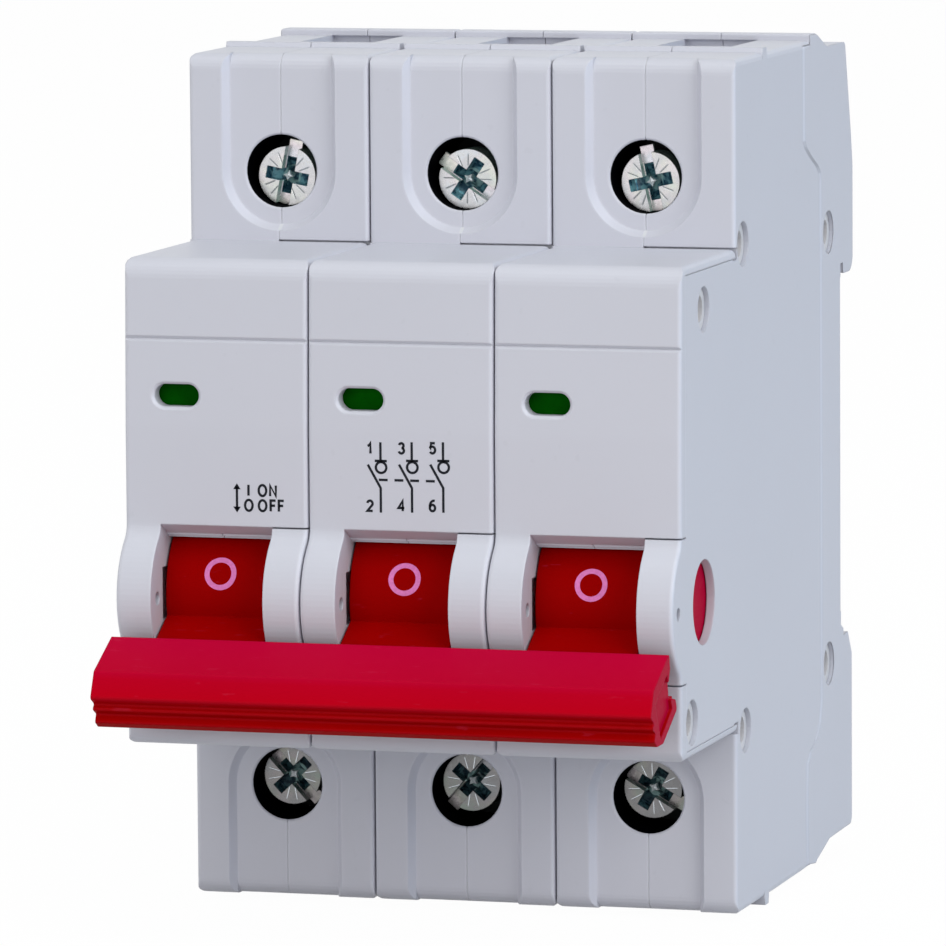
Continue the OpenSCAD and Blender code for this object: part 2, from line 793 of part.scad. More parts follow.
module tie_rivets() {
    half = (poles * pole_pitch - pole_gap) / 2 - rivet_inset;
    color(ivory) for (p = rivet_places) difference() {
        across(-half, half) translate(p) circle(r = rivet_radius);
        both_sides() across(half - rivet_bore_depth, half + 1) translate(p) circle(r = rivet_bore);
    }
}

/* ---- Assembly ---- */

for (n = [1:poles]) {
    translate([pole_x(n), 0, 0]) case_left();
    translate([pole_x(n), 0, 0]) case_right();
    translate([pole_x(n), 0, 0]) toggle();
    translate([pole_x(n), 0, 0]) flag();
    translate([pole_x(n), 0, 0]) screw(1, screw_turn_top[n - 1]);
    translate([pole_x(n), 0, 0]) screw(-1, screw_turn_bottom[n - 1]);
    translate([pole_x(n), 0, 0]) clamp(1);
    translate([pole_x(n), 0, 0]) clamp(-1);
    translate([pole_x(n), 0, 0]) contact(1);
    translate([pole_x(n), 0, 0]) contact(-1);
    translate([pole_x(n), 0, 0]) rail_clip();
}
handle_bar();
tie_rivets();
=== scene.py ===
"""Looks for the three-pole switch disconnector: materials, printed marks, light and camera.

Lengths are in millimetres until they reach Blender, which works in metres."""
import math

import bmesh
import bpy
from mathutils import Matrix, Vector
from mathutils.bvhtree import BVHTree


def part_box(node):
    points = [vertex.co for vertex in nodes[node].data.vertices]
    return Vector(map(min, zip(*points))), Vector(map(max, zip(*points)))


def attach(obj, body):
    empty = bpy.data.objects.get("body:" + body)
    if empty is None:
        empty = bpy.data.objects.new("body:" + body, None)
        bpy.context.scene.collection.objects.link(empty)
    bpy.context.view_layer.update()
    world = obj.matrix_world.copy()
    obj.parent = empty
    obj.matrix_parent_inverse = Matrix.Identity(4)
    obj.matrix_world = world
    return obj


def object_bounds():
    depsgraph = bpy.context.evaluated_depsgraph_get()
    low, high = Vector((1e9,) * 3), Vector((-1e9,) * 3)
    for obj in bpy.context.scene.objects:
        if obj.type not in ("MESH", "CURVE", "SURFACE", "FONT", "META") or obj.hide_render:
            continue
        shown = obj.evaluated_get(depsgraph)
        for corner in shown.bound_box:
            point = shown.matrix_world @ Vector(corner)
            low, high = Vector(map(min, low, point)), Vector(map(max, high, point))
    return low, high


MM = 0.001
PITCH = 17.75
POLES = (1, 2, 3)
POLE_X = {n: (n - 2) * PITCH for n in POLES}

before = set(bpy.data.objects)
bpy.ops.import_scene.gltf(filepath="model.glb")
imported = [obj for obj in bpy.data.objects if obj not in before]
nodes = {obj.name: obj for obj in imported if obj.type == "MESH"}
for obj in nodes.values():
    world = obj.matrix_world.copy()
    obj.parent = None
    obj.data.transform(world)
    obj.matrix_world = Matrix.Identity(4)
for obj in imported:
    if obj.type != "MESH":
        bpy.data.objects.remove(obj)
cad_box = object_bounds()
scene = bpy.context.scene

# Places on the CAD part that the materials and marks keep to, in millimetres, and the
# turns of the screws' slots in degrees
FRONT_Y = -60.42
PIVOT_Y, PIVOT_Z = -52.44, -8.78
DRUM_RADIUS = 7.2
RIM_Y = -39.54
HEAD_Y = -37.94
WELL_Z = 29.15
WELL_RADIUS = 3.45
WELL_END = -22  # the wells' painted shade stops here, far in front of the rear face
SCREW_Z = 28.55
SIDE_X = 26.565
TOP_TURNS = {1: 11, 2: -56, 3: -12}
BOTTOM_TURNS = {1: -43, 2: 41, 3: -60}

GREY = (0.565, 0.57, 0.632)
CRIMSON = (0.45, 0.0003, 0.03)
# Brightness of the screws' zinc, painted darker on the bottom row as shade, and colour of their
# fine lines
SCREW_SHADE_AND_LINES = {"top": (0.98, (0.14, 0.18, 0.2)), "bottom": (0.27, (0.75, 0.8, 0.85))}


# ---- camera ----

# Where the camera stands and looks: degrees, then millimetres
VIEW_AZIMUTH, VIEW_ELEVATION, VIEW_ROLL = 16.389, 6.59, -0.388
VIEW_TARGET, VIEW_DISTANCE = (6.815, -60, 3.47), 740.3
LENS, SENSOR = 308.8, 36


def make_camera():
    azimuth, elevation = math.radians(VIEW_AZIMUTH), math.radians(VIEW_ELEVATION)
    roll = math.radians(VIEW_ROLL)
    level = math.cos(elevation)
    back = Vector((math.sin(azimuth) * level, -math.cos(azimuth) * level, math.sin(elevation)))
    across = Vector((math.cos(azimuth), math.sin(azimuth), 0))
    rise = back.cross(across)
    right = math.cos(roll) * across + math.sin(roll) * rise
    up = math.cos(roll) * rise - math.sin(roll) * across
    target = Vector(VIEW_TARGET) * MM
    cam = bpy.data.cameras.new("camera")
    cam.sensor_width, cam.lens = SENSOR, LENS
    cam.clip_start, cam.clip_end = 0.05, 10
    obj = bpy.data.objects.new("camera", cam)
    scene.collection.objects.link(obj)
    turn = Matrix((right, up, back)).transposed().to_4x4()
    obj.matrix_world = Matrix.Translation(target + back * VIEW_DISTANCE * MM) @ turn
    scene.camera = obj


# ---- material building ----

class Tree:
    """A material and short calls that add its nodes. Inputs may be sockets, numbers or colours."""

    def __init__(self, name):
        self.mat = bpy.data.materials.new(name)
        self.mat.use_nodes = True
        self.nodes, self.links = self.mat.node_tree.nodes, self.mat.node_tree.links
        self.shader = self.nodes["Principled BSDF"]
        self.place = self.nodes.new("ShaderNodeTexCoord").outputs["Object"]
        parts = self.add("ShaderNodeSeparateXYZ", Vector=self.place)
        self.x, self.y, self.z = (self.math("MULTIPLY", parts.outputs[i], 1000) for i in range(3))

    def give(self, socket, value):
        if isinstance(value, bpy.types.NodeSocket):
            self.links.new(value, socket)
        elif isinstance(value, tuple) and len(value) == 3 and socket.type == "RGBA":
            socket.default_value = (*value, 1)
        else:
            socket.default_value = value

    def add(self, kind, **inputs):
        node = self.nodes.new(kind)
        for name, value in inputs.items():
            self.give(node.inputs[name.replace("_", " ")], value)
        return node

    def math(self, operation, *values):
        node = self.nodes.new("ShaderNodeMath")
        node.operation = operation
        for socket, value in zip(node.inputs, values):
            self.give(socket, value)
        return node.outputs[0]

    def length(self, first, second):
        """The long side of a right triangle."""
        squares = (self.math("MULTIPLY", side, side) for side in (first, second))
        return self.math("SQRT", self.math("ADD", *squares))

    def noise(self, scale, detail, stretch=None, rough=0.5):
        where = self.place
        if stretch:
            where = self.add("ShaderNodeMapping", Vector=where, Scale=stretch).outputs[0]
        node = self.add("ShaderNodeTexNoise", Vector=where, Scale=scale, Detail=detail,
                        Roughness=rough)
        return node.outputs["Fac"]

    def between(self, value, low, high, start=0.0, end=1.0, smooth=True):
        node = self.nodes.new("ShaderNodeMapRange")
        node.interpolation_type = "SMOOTHSTEP" if smooth else "LINEAR"
        for socket, number in zip(node.inputs, (value, low, high, start, end)):
            self.give(socket, number)
        return node.outputs[0]

    def mix(self, factor, first, second, blend="MIX"):
        node = self.nodes.new("ShaderNodeMix")
        node.data_type, node.blend_type = "RGBA", blend
        for index, value in ((0, factor), (6, first), (7, second)):
            self.give(node.inputs[index], value)
        return node.outputs[2]

    def ramp(self, value, *stops):
        node = self.nodes.new("ShaderNodeValToRGB")
        bar = node.color_ramp.elements
        while len(bar) < len(stops):
            bar.new(0.5)
        for element, (at, colour) in zip(bar, stops):
            element.position, element.color = at, (*colour, 1)
        self.give(node.inputs[0], value)
        return node.outputs[0]

    def bump(self, height, depth, normal=None, strength=1.0):
        """A bump whose height runs from 0 to 1 over a depth in millimetres."""
        node = self.nodes.new("ShaderNodeBump")
        node.inputs["Strength"].default_value = strength
        node.inputs["Distance"].default_value = depth * MM
        self.give(node.inputs["Height"], height)
        if normal is not None:
            self.give(node.inputs["Normal"], normal)
        return node.outputs[0]

    def soft_edges(self, radius):
        """The normal with edges rounded to a radius in millimetres."""
        node = self.nodes.new("ShaderNodeBevel")
        node.samples = 5
        node.inputs["Radius"].default_value = radius * MM
        return node.outputs[0]

    def highlight_edge_mask(self, rounded, start, full):
        """1 along the edges that the rounded normal softens, and 0 on flat faces: the mask of a
        painted highlight.
        """
        flat = self.nodes.new("ShaderNodeNewGeometry").outputs["Normal"]
        node = self.nodes.new("ShaderNodeVectorMath")
        node.operation = "DOT_PRODUCT"
        self.links.new(flat, node.inputs[0])
        self.links.new(rounded, node.inputs[1])
        return self.between(node.outputs["Value"], start, full)

    def upright_highlight_mask(self, rounded):
        """1 where a rounded upright edge turns from the front to a side, the mask of a painted
        highlight there.
        """
        parts = self.add("ShaderNodeSeparateXYZ", Vector=rounded).outputs
        turn = self.math("ABSOLUTE", self.math("MULTIPLY", parts[0], parts[1]))
        return self.between(turn, 0.1, 0.42)

    def finish(self, colour, rough, normal, metallic=0.0, specular=0.5):
        self.give(self.shader.inputs["Base Color"], colour)
        self.give(self.shader.inputs["Roughness"], rough)
        self.give(self.shader.inputs["Normal"], normal)
        self.give(self.shader.inputs["Metallic"], metallic)
        self.shader.inputs["Specular IOR Level"].default_value = specular
        return self.mat


def shade(colour, factor):
    return tuple(min(1.0, c * factor) for c in colour)


def well_shade_mask(t):
    """1 inside the screw wells, behind their rims, and 0 elsewhere: where the wells' shade is
    painted black.
    """
    across = t.math("WRAP", t.x, PITCH / 2, -PITCH / 2)
    height = t.math("SUBTRACT", t.math("ABSOLUTE", t.z), WELL_Z)
    reach = t.length(across, height)
    near = t.between(reach, WELL_RADIUS + 0.25, WELL_RADIUS + 0.05)
    behind_rim = t.between(t.y, RIM_Y - 0.02, RIM_Y + 0.12)
    before_end = t.between(t.y, WELL_END + 1, WELL_END)
    return t.math("MULTIPLY", near, t.math("MULTIPLY", behind_rim, before_end))


def crease(t):
    """Height of the shallow step down both outer sides, from 0 to 1. It is made by a bump and a
    painted highlight line, not by geometry.
    """
    inward = t.nodes.new("ShaderNodeFloatCurve")
    line = inward.mapping.curves[0].points
    # half the height that the curve spans, its depth, and half the step's width
    tall, deep, half = 41, 20, 0.75
    # height and depth of the step's line, bottom to top
    path = ((-tall, -13.2), (-36, -13.6), (-31.8, -13.6), (-29.5, -13.3), (-28.5, -12.2),
            (-27.7, -10.1), (-26.3, -8.4), (-24.1, -7.7), (19.7, -7.7), (26.5, -7.9),
            (27.3, -8.2), (28.0, -9.2), (29.0, -11.6), (30.0, -13.6), (30.7, -14.3),
            (tall, -14.4))
    ends = [((z + tall) / (2 * tall), (y + deep) / deep) for z, y in path]
    line[0].location, line[1].location = ends[0], ends[-1]
    for place in ends[1:-1]:
        line.new(*place)
    for point in line:
        point.handle_type = "VECTOR"
    inward.mapping.update()
    t.give(inward.inputs["Value"], t.math("DIVIDE", t.math("ADD", t.z, tall), 2 * tall))
    depth = t.math("SUBTRACT", t.math("MULTIPLY", inward.outputs[0], deep), deep)
    step = t.between(t.math("SUBTRACT", t.y, depth), -half, half)
    outer = t.between(t.math("ABSOLUTE", t.x), SIDE_X - 0.1, SIDE_X - 0.05)
    return t.math("MULTIPLY", step, outer)


def grey_material():
    t = Tree("grey_plastic")
    cloud = t.noise(45, 3)
    grain = t.noise(7000, 3, rough=0.65)
    speck = t.between(t.noise(900, 1), 0.73, 0.78)
    colour = t.mix(cloud, shade(GREY, 0.975), shade(GREY, 1.02))
    colour = t.mix(t.math("MULTIPLY", grain, 0.05), colour, shade(GREY, 0.8))
    colour = t.mix(t.math("MULTIPLY", speck, 0.1), colour, shade(GREY, 0.75))
    well_shade = well_shade_mask(t)
    # painted highlight: the rounded upright edges are painted lighter than the faces
    edge_highlight = t.upright_highlight_mask(t.soft_edges(0.35))
    colour = t.mix(t.math("MULTIPLY", edge_highlight, 0.45), colour, shade(GREY, 1.28))
    # painted shade: the plastic inside the wells is painted black and made black metal
    colour = t.mix(well_shade, colour, (0.001, 0.001, 0.002))
    normal = t.bump(grain, 0.012, t.soft_edges(0.18), 0.35)
    step = crease(t)
    # painted highlight: a light line painted along the step
    crease_highlight = t.math("MULTIPLY", t.math("MULTIPLY", step, t.math("SUBTRACT", 1, step)), 3.2)
    colour = t.mix(crease_highlight, colour, shade(GREY, 1.22))
    normal = t.bump(step, 0.6, normal)
    rough = t.math("MAXIMUM", well_shade, t.between(grain, 0.2, 0.8, 0.38, 0.5))
    return t.finish(colour, rough, normal, metallic=well_shade, specular=0.4)


def red_material(name, *shade_bands, end, specular, pale=0.0):
    """Red plastic with painted shade and sheen in bands by height, another colour on its ends and
    a painted highlight along fine edges.
    """
    t = Tree(name)
    grain = t.noise(6000, 2)
    scuff = t.between(t.noise(420, 3, stretch=(1, 6, 3)), 0.66, 0.72)
    low, high = shade_bands[0][0], shade_bands[-1][0]
    spread = max(high - low, 1)
    height = t.math("DIVIDE", t.math("SUBTRACT", t.z, low), spread)
    colour = t.ramp(height, *(((at - low) / spread, base) for at, base in shade_bands))
    facing = t.nodes.new("ShaderNodeNewGeometry").outputs["Normal"]
    side = t.add("ShaderNodeSeparateXYZ", Vector=facing).outputs[0]
    colour = t.mix(t.between(t.math("ABSOLUTE", side), 0.7, 0.9), colour, end)
    cloud = t.between(t.noise(60, 2), 0, 1, 0.94, 1.05, smooth=False)
    clouded = t.add("ShaderNodeCombineXYZ", X=cloud, Y=cloud, Z=cloud).outputs[0]
    colour = t.mix(1.0, colour, clouded, "MULTIPLY")
    colour = t.mix(t.math("MULTIPLY", scuff, 0.12), colour, (0.6, 0.05, 0.12))
    rounded = t.soft_edges(0.2)
    # painted highlight: a pale line painted along the fine edges
    edge_highlight = t.math("MULTIPLY", t.highlight_edge_mask(rounded, 0.9995, 0.97), pale)
    colour = t.mix(edge_highlight, colour, (0.75, 0.05, 0.1))
    normal = t.bump(grain, 0.006, rounded, 0.3)
    return t.finish(colour, t.between(grain, 0.2, 0.8, 0.34, 0.44), normal, specular=specular)


def green_material():
    t = Tree("green_plastic")
    cloud = t.noise(500, 2)
    colour = t.mix(cloud, (0.0003, 0.042, 0.0002), (0.0006, 0.095, 0.0003))
    normal = t.bump(t.noise(5000, 2), 0.004, strength=0.3)
    return t.finish(colour, 0.3, normal, specular=0.01)


def ivory_material():
    t = Tree("rivet_plastic")
    colour = t.mix(t.noise(700, 2), (0.62, 0.61, 0.62), (0.72, 0.7, 0.71))
    normal = t.bump(t.noise(5000, 2), 0.01, t.soft_edges(0.15), 0.3)
    return t.finish(colour, 0.4, normal, specular=0.4)


def clamp_shade_material():
    # painted shade: the clamps are painted near black, as dark as the wells around them
    t = Tree("clamp_steel")
    streak = t.noise(1500, 3, stretch=(1, 0.1, 1))
    colour = t.mix(streak, (0.008, 0.009, 0.01), (0.03, 0.032, 0.035))
    rough = t.between(streak, 0.2, 0.8, 0.3, 0.45)
    return t.finish(colour, rough, t.bump(streak, 0.01, strength=0.4), metallic=1)


def copper_material():
    t = Tree("copper")
    streak = t.noise(1800, 3, stretch=(1, 0.15, 1))
    colour = t.mix(streak, (0.55, 0.28, 0.16), (0.8, 0.48, 0.32))
    rough = t.between(streak, 0.2, 0.8, 0.25, 0.4)
    return t.finish(colour, rough, t.bump(streak, 0.01, strength=0.4), metallic=1)


def screw_material(name, x, z, turn, level, line_colour):
    """Bright zinc with a pastel tint and fine engraved lines, painted darker by level as shade,
    and a cross recess painted dark as shade with a painted glint in its middle.
    """
    # half width and reach of the cross's arms, half width and depth of the slot
    arm_half, arm_reach, slot_half, slot_depth = 0.66, 2.16, 0.64, 1.1
    # angle of the fine lines from the middle of a sector, where they start and end
    line_angle, line_start, line_end = 0.22, 1.1, 2.5
    t = Tree(name)
    angle = math.radians(turn)
    dx, dz = t.math("SUBTRACT", t.x, x), t.math("SUBTRACT", t.z, z)
    sine, cosine = math.sin(angle), math.cos(angle)
    across = t.math("SUBTRACT", t.math("MULTIPLY", dx, cosine), t.math("MULTIPLY", dz, sine))
    along = t.math("ADD", t.math("MULTIPLY", dx, sine), t.math("MULTIPLY", dz, cosine))
    reach = t.length(dx, dz)
    depth = t.math("SUBTRACT", t.y, HEAD_Y)
    # pastel tint of the passivated zinc
    tint = t.ramp(t.noise(380, 1.5), (0.3, (0.6, 0.82, 0.68)), (0.44, (0.84, 0.85, 0.72)),
                  (0.54, (0.88, 0.76, 0.82)), (0.68, (0.7, 0.76, 0.86)))
    face = t.mix(0.5, tint, (0.84, 0.84, 0.83))
    grain = t.noise(2600, 4, rough=0.7)
    face = t.mix(t.between(grain, 0.25, 0.6), shade((0.84, 0.84, 0.83), 0.8), face)
    face = t.mix(t.between(t.noise(700, 3), 0.35, 0.65), shade((0.84, 0.84, 0.86), 0.82), face)
    # painted shade: level darkens the zinc of a whole row of screws
    face = t.mix(1.0, face, (level, level, level), "MULTIPLY")
    # fine lines, two between each two arms of the cross
    bearing = t.math("ARCTAN2", along, across)
    sector = t.math("SUBTRACT", t.math("WRAP", bearing, math.pi / 2, 0.0), math.pi / 4)
    off = t.math("SUBTRACT", t.math("ABSOLUTE", sector), line_angle)
    off = t.math("MULTIPLY", t.math("ABSOLUTE", off), reach)
    begun = t.between(reach, line_start, line_start + 0.3)
    line = t.math("MULTIPLY", t.between(off, 0.08, 0.03), begun)
    line = t.math("MULTIPLY", line, t.between(reach, line_end, line_end - 0.3))
    line = t.math("MULTIPLY", line, t.between(depth, 0.1, 0.05))
    colour = t.mix(t.math("MULTIPLY", line, 0.65), face, line_colour)
    # slot: greenish walls and a pale floor, cross: painted shade in dark blue-green with a painted
    # glint in its middle
    deep = t.between(depth, 0.03, 0.1)
    wall = t.mix(t.noise(900, 2), shade((0.3, 0.5, 0.46), level), shade((0.52, 0.68, 0.6), level))
    floor = t.between(t.math("ABSOLUTE", t.math("SUBTRACT", depth, slot_depth)), 0.06, 0.02)
    pale = t.mix(1.0, t.mix(0.5, tint, (0.84, 0.8, 0.82)), (level, level, level), "MULTIPLY")
    inner = t.mix(floor, wall, pale)
    flecks = t.between(t.noise(1300, 2), 0.42, 0.62)
    recess_shade = t.mix(flecks, shade((0.02, 0.075, 0.12), level), shade((0.16, 0.38, 0.44), level))
    arm = t.math("MINIMUM", t.math("ABSOLUTE", across), t.math("ABSOLUTE", along))
    in_arm = t.between(arm, arm_half, arm_half - 0.06)
    inside = t.math("MULTIPLY", in_arm, t.between(reach, arm_reach, arm_reach - 0.06))
    beside = t.between(t.math("ABSOLUTE", across), slot_half, slot_half + 0.04)
    below = t.between(depth, slot_depth + 0.02, slot_depth + 0.06)
    deeper = t.math("MULTIPLY", inside, t.math("MAXIMUM", below, beside))
    inner = t.mix(deeper, inner, recess_shade)
    # painted highlight: a pale glint painted in the middle of the cross
    painted_glint = t.math("MULTIPLY", t.between(reach, 0.98, 0.9), t.between(depth, 0.25, 0.7))
    painted_glint = t.math("MULTIPLY", painted_glint, t.between(t.noise(1100, 1), 0.4, 0.56))
    inner = t.mix(t.math("MULTIPLY", painted_glint, 0.7), inner, (0.5, 0.75, 0.72))
    colour = t.mix(deep, colour, inner)
    height = t.math("SUBTRACT", t.math("MULTIPLY", grain, 0.3), line)
    rough = t.between(grain, 0.3, 0.7, 0.22, 0.38)
    bump = t.bump(height, 0.03, t.soft_edges(0.08), 0.8)
    shine = t.math("MAXIMUM", t.math("SUBTRACT", 1, deep), floor)
    return t.finish(colour, rough, bump, metallic=shine)


def ink_material(name, colour):
    t = Tree(name)
    cover = t.noise(3500, 2)
    mixed = t.mix(t.between(cover, 0.3, 0.7), shade(colour, 0.9), shade(colour, 1.05))
    return t.finish(mixed, 0.5, t.bump(cover, 0.004, strength=0.3), specular=0.2)


def dress_nodes():
    grey, green, ivory = grey_material(), green_material(), ivory_material()
    # painted shade: the toggles are painted a darker copy of the bar's red, their ends keep
    # CRIMSON
    red = red_material("red_plastic", (-20, (0.29, 0.0002, 0.0003)), (0, (0.28, 0.0002, 0.0003)),
                       end=CRIMSON, specular=0.01)
    bar_node = next(name for name in nodes if name.startswith("handle"))
    foot, crest = (corner[2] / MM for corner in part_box(bar_node))
    # shares of the bar's height, and the colour there: the darker low bands are painted shade and
    # the bluer top is painted sheen
    shade_bands = ((0, (0.33, 0.0002, 0.0005)), (0.3, (0.38, 0.0002, 0.001)),
             (0.36, (0.46, 0.0003, 0.008)), (0.6, (0.46, 0.0003, 0.014)),
             (0.66, (0.46, 0.0008, 0.022)), (1, (0.46, 0.001, 0.032)))
    bar = red_material("red_bar", *((foot + at * (crest - foot), base) for at, base in shade_bands),
                       end=CRIMSON, specular=0.01, pale=0.1)
    clamp, copper = clamp_shade_material(), copper_material()
    finishes = (("case", grey), ("rail_clip", grey), ("toggle", red), ("handle", bar),
                ("flag", green), ("clamp", clamp), ("contact", copper), ("tie", ivory))
    for name, obj in nodes.items():
        mat = next((m for start, m in finishes if name.startswith(start)), None)
        if mat is None:
            pole = int(name[-1])
            end = "top" if "top" in name else "bottom"
            turn = (TOP_TURNS if end == "top" else BOTTOM_TURNS)[pole]
            place = SCREW_Z if end == "top" else -SCREW_Z
            level, line = SCREW_SHADE_AND_LINES[end]
            mat = screw_material("zinc_" + name, POLE_X[pole], place, turn, level, line)
        obj.data.materials.clear()
        obj.data.materials.append(mat)


# ---- printed marks ----

RING_STEPS = 48
INK = 0.015  # how far the ink stands proud of the surface, in millimetres


def arc(cx, cy, rx, ry, start, end, steps=16):
    turn = [math.radians(start + (end - start) * i / steps) for i in range(steps + 1)]
    return [(cx + rx * math.cos(a), cy + ry * math.sin(a)) for a in turn]


def ring(cx, cy, rx, ry):
    return arc(cx, cy, rx, ry, 0, 360, RING_STEPS)[:-1]


# Strokes of each sign on a cell one unit high
GLYPHS = {
    "I": [[(0, 0), (0, 1)]],
    "O": [ring(0.36, 0.5, 0.36, 0.5)],
    "N": [[(0, 0), (0, 1), (0.55, 0), (0.55, 1)]],
    "F": [[(0, 0), (0, 1), (0.48, 1)], [(0, 0.53), (0.42, 0.53)]],
    "1": [[(0.02, 0.72), (0.18, 0.8), (0.3, 1), (0.3, 0)]],
    "2": [arc(0.27, 0.72, 0.26, 0.28, 170, -25) + [(0.02, 0.02), (0.54, 0.02)]],
    "3": [arc(0.27, 0.75, 0.23, 0.25, 165, -80), arc(0.27, 0.27, 0.26, 0.27, 85, -165)],
    "4": [[(0.42, 0), (0.42, 1), (0.0, 0.3), (0.58, 0.3)]],
    "5": [[(0.5, 1), (0.11, 1), (0.05, 0.53)] + arc(0.25, 0.33, 0.27, 0.33, 140, -150)],
    "6": [ring(0.27, 0.3, 0.26, 0.3), arc(0.4, 0.42, 0.39, 0.58, 180, 75)],
}


def sign(text, left, foot, height):
    """Strokes of one sign, set with its left end and foot at a place."""
    return [[(left + px * height, foot + py * height) for px, py in stroke]
            for stroke in GLYPHS[text]]


def place_piece(bm, name, body, finish):
    """Turns a finished bmesh into a piece that rides on a body."""
    bmesh.ops.recalc_face_normals(bm, faces=bm.faces)
    mesh = bpy.data.meshes.new(name)
    bm.to_mesh(mesh)
    bm.free()
    mesh.materials.append(finish)
    obj = bpy.data.objects.new(name, mesh)
    scene.collection.objects.link(obj)
    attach(obj, body)


def ink(name, strokes, width, place, body, finish):
    """Thin flat strokes laid on a surface. place(u, v, lift) gives the point in millimetres."""
    bm = bmesh.new()

    def strip(left, right, closed):
        rows = [[bm.verts.new(Vector(place(*p, lift)) * MM) for p in side]
                for side, lift in ((left, INK), (right, INK), (right, -INK), (left, -INK))]
        count = len(left)
        for i in range(count if closed else count - 1):
            j = (i + 1) % count
            for a, b in ((0, 1), (1, 2), (2, 3), (3, 0)):
                bm.faces.new((rows[a][i], rows[b][i], rows[b][j], rows[a][j]))
        if not closed:
            bm.faces.new([rows[k][0] for k in range(4)])
            bm.faces.new([rows[k][-1] for k in (3, 2, 1, 0)])

    for points in strokes:
        closed = len(points) == RING_STEPS
        left, right = [], []
        count = len(points)
        for i, (px, py) in enumerate(points):
            before = points[i - 1] if closed or i else None
            after = points[(i + 1) % count] if closed or i < count - 1 else None
            normals = []
            for a, b in ((before, (px, py)), ((px, py), after)):
                if a and b:
                    length = math.dist(a, b)
                    normals.append(Vector((a[1] - b[1], b[0] - a[0])) / length)
            side = sum(normals, Vector((0, 0))).normalized()
            grow = width / 2 / max(0.45, side.dot(normals[0]))
            left.append((px + side.x * grow, py + side.y * grow))
            right.append((px - side.x * grow, py - side.y * grow))
        strip(left, right, closed)
    place_piece(bm, name, body, finish)


def on_front(u, v, lift):
    return (u, FRONT_Y - lift, v)


def on_drum(centre):
    """Wraps a mark round the drum: v is the distance up its surface."""
    def place(u, v, lift):
        turn = v / DRUM_RADIUS
        reach = DRUM_RADIUS + lift
        return (centre + u, PIVOT_Y - reach * math.cos(turn), PIVOT_Z + reach * math.sin(turn))
    return place


def make_marks():
    black = ink_material("ink_black", (0.006, 0.007, 0.012))
    bounce_pink_ink = ink_material("ink_pale", (0.72, 0.2, 0.5))
    pen = 0.23  # width of the black strokes
    # ON and OFF with their arrow, on the first pole
    row_on, row_off, tall = 0.87, -0.53, 1.0
    signs = [("I", -14.59, row_on), ("O", -13.6, row_on), ("N", -12.5, row_on),
             ("O", -14.93, row_off), ("O", -13.6, row_off), ("F", -12.46, row_off),
             ("F", -11.67, row_off)]
    strokes = [s for text, left, foot in signs for s in sign(text, left, foot, tall)]
    arrow = -15.71
    strokes.append([(arrow, -0.45), (arrow, 1.7)])
    ink("mark_on_off", strokes, pen, on_front, "housing", black)
    head_tall, head_half = 0.55, 0.36
    for i, (tip, way) in enumerate(((1.98, 1), (-0.73, -1)), 1):
        arrow_head("mark_arrow_%d" % i, (arrow, tip), (arrow, tip - head_tall * way), head_half,
                   black)
    # circuit sign of a three-pole isolator, on the second pole
    strokes, numbers = [], []
    first, apart, lift = -1.87, 2.985, 0.075
    for i in range(3):
        at = first + apart * i
        rise = lift * i
        strokes += [[(at, 6.12 + rise), (at, 4.45 + rise)],
                    [(at - 0.55, 4.4 + rise), (at + 0.6, 4.4 + rise)],
                    ring(at + 0.05, 3.8 + rise, 0.5, 0.5),
                    [(at - 1.22, 4.04 + rise), (at, 1.9 + rise), (at, -0.36 + rise)]]
        numbers += sign("135"[i], at - 1.24, 5.07 + rise, 0.94)
        numbers += sign("246"[i], at - 1.3, -0.24 + rise, 0.96)
    dash = 2.66
    strokes += [[(-2.05 + s, dash), (-1.2 + s, dash)] for s in (0.0, 1.5, 3.0, 4.5)]
    ink("mark_circuit", strokes, pen, on_front, "housing", black)
    ink("mark_numbers", numbers, pen, on_front, "housing", black)
    # ring on each toggle, white print painted pink as red light bounced off the drum
    for n in POLES:
        circle = ring(0, 2.22, 1.3, 1.3)
        ink("mark_ring_%d" % n, [circle], 0.48, on_drum(POLE_X[n]), "handle", bounce_pink_ink)


def arrow_head(name, tip, base, half, finish):
    bm = bmesh.new()
    outline = (tip, (base[0] - half, base[1]), (base[0] + half, base[1]))
    front, back = ([bm.verts.new(Vector(on_front(*p, lift)) * MM) for p in outline]
                   for lift in (INK, -INK))
    bm.faces.new(front)
    bm.faces.new(back[::-1])
    for i in range(3):
        j = (i + 1) % 3
        bm.faces.new((front[j], front[i], back[i], back[j]))
    place_piece(bm, name, "housing", finish)


# ---- small pieces ----

def add_piece(name, verts, faces, finish):
    """A closed piece of the housing from points in millimetres."""
    bm = bmesh.new()
    made = [bm.verts.new(Vector(v) * MM) for v in verts]
    for face in faces:
        bm.faces.new([made[i] for i in face])
    place_piece(bm, name, "housing", finish)


